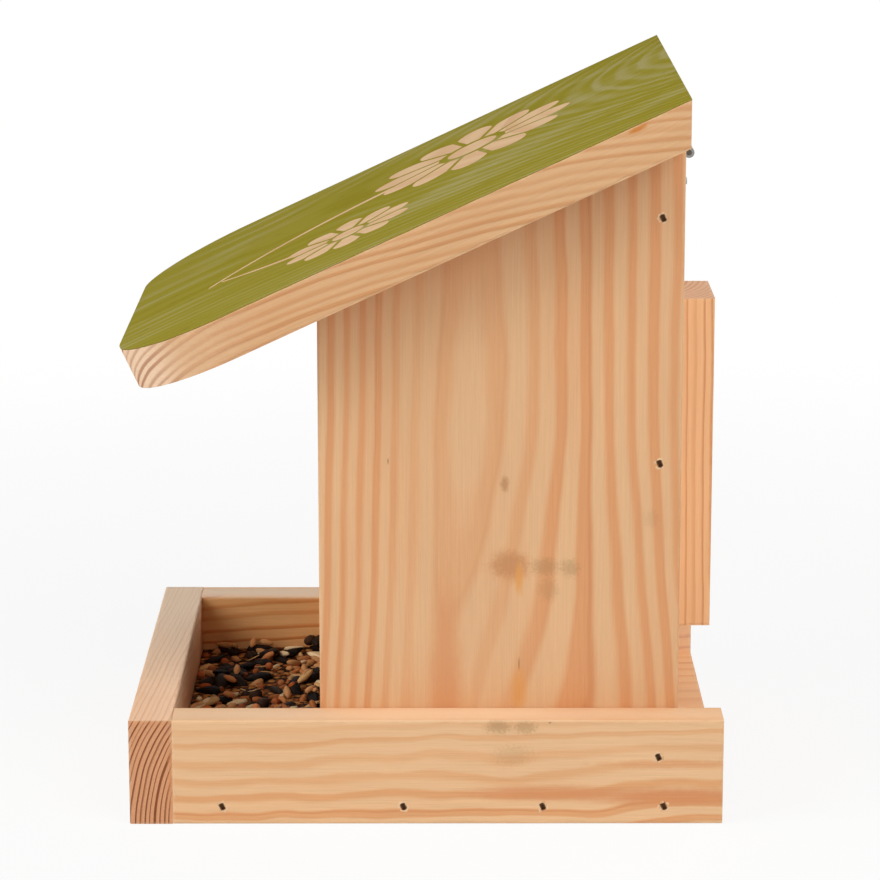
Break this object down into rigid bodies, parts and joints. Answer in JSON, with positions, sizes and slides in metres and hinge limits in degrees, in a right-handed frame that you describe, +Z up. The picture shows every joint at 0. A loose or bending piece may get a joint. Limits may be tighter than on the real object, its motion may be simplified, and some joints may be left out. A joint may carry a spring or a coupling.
{
  "type": "silo bird feeder",
  "caption": "Wooden silo bird feeder: seed tray, clear-fronted hopper, mono-pitch roof that hinges up for filling, and a batten on its back for hanging on a wall.",
  "frame": {"origin": "centre of the tray's underside, on the surface that the feeder stands on", "axes": "+Z up, +Y from the tray's front towards the wall behind, +X to the right as seen from the front"},
  "size_m": [0.228, 0.2507, 0.3046],
  "materials": {
    "pine": "planed, unfinished",
    "stained_pine": "olive-green stain on the top face, bare edges",
    "clear_acrylic": "clear, polished",
    "zinc_steel": "zinc plated",
    "brad_steel": "bright wire, darkened",
    "seed_mix": "mixed dry seed"
  },
  "bodies": {
    "feeder": {"front_rail": "pine", "side_rail_right": "pine", "side_rail_left": "pine", "floor_board": "pine", "side_panel_right": "pine", "side_panel_left": "pine", "back_panel": "pine", "wall_batten": "pine", "front_pane": "clear_acrylic", "hinge_right_back_leaf": "zinc_steel", "hinge_right_pin": "zinc_steel", "hinge_left_back_leaf": "zinc_steel", "hinge_left_pin": "zinc_steel", "back_leaf_screws": "zinc_steel", "floor_brads": "brad_steel", "rail_brads": "brad_steel", "panel_brads": "brad_steel", "front_rail_brads": "brad_steel", "foot_brads": "brad_steel", "batten_brads": "brad_steel", "seed_bed": "seed_mix"},
    "roof": {"roof_board": "stained_pine", "hinge_right_roof_leaf": "zinc_steel", "hinge_left_roof_leaf": "zinc_steel", "roof_leaf_screws": "zinc_steel"}
  },
  "joints": [
    {"name": "roof_hinge", "type": "hinge", "parent": "feeder", "child": "roof", "pos_m": [0, 0.108, 0.2765], "axis": [-1, 0, 0], "range_deg": [0, 160]}
  ]
}
